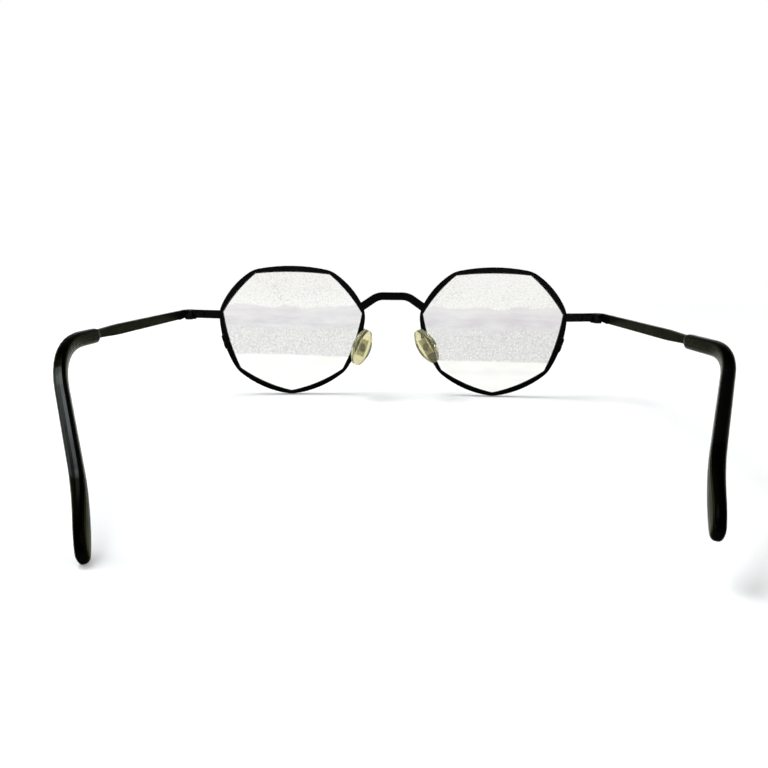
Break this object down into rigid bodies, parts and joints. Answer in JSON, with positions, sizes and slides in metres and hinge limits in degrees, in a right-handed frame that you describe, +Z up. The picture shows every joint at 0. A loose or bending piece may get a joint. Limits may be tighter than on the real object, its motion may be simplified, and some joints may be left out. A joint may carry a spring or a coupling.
{
  "type": "eyeglasses",
  "caption": "Thin metal eyeglasses with seven-sided lenses, a flat bent bridge, adjustable nose pads and hinged temples that end in bent plastic tips.",
  "frame": {"origin": "centre of the overall box in X and Y, on the surface that the open glasses stand on", "axes": "+X towards the wearer's right, +Y out through the lenses, away from the wearer, +Z up"},
  "size_m": [0.1401, 0.151, 0.0409],
  "materials": {
    "black_frame": "satin black lacquer on metal",
    "dark_hinge": "satin black lacquer on nickel silver",
    "steel_screw": "turned steel",
    "clear_lens": "polished clear",
    "black_tip": "polished black acetate",
    "clear_pad": "yellowed translucent, slightly matt",
    "pad_core": "dull metal plate seen through the pad"
  },
  "bodies": {
    "front": {"rim_left": "black_frame", "rim_right": "black_frame", "lens_left": "clear_lens", "lens_right": "clear_lens", "lock_upper_left": "black_frame", "lock_upper_right": "black_frame", "lock_lower_left": "black_frame", "lock_lower_right": "black_frame", "lock_screw_left": "steel_screw", "lock_screw_right": "steel_screw", "end_piece_left": "black_frame", "end_piece_right": "black_frame", "front_hinge_left": "dark_hinge", "front_hinge_right": "dark_hinge", "hinge_screw_left": "steel_screw", "hinge_screw_right": "steel_screw", "pad_arm_left": "dark_hinge", "pad_arm_right": "dark_hinge", "pad_box_left": "dark_hinge", "pad_box_right": "dark_hinge", "pad_screw_left": "steel_screw", "pad_screw_right": "steel_screw", "bridge": "black_frame"},
    "temple_left_body": {"temple_left": "black_frame", "tip_left": "black_tip", "temple_hinge_left": "dark_hinge"},
    "temple_right_body": {"temple_right": "black_frame", "tip_right": "black_tip", "temple_hinge_right": "dark_hinge"},
    "nose_pad_left_body": {"nose_pad_left": "clear_pad", "pad_insert_left": "pad_core"},
    "nose_pad_right_body": {"nose_pad_right": "clear_pad", "pad_insert_right": "pad_core"}
  },
  "joints": [
    {"name": "temple_left_fold", "type": "hinge", "parent": "front", "child": "temple_left_body", "pos_m": [-0.0648, 0.0656, 0.02552], "axis": [0, 0, 1], "range_deg": [0, 85]},
    {"name": "temple_right_fold", "type": "hinge", "parent": "front", "child": "temple_right_body", "pos_m": [0.0648, 0.0656, 0.02552], "axis": [0, 0, -1], "range_deg": [0, 72]},
    {"name": "nose_pad_left_rock", "type": "hinge", "parent": "front", "child": "nose_pad_left_body", "pos_m": [-0.01064, 0.06373, 0.01625], "axis": [-0.7839, -0.4994, 0.369], "range_deg": [-8, 8]},
    {"name": "nose_pad_right_rock", "type": "hinge", "parent": "front", "child": "nose_pad_right_body", "pos_m": [0.01193, 0.06377, 0.01708], "axis": [0.7106, -0.4702, 0.5234], "range_deg": [-8, 8]}
  ]
}
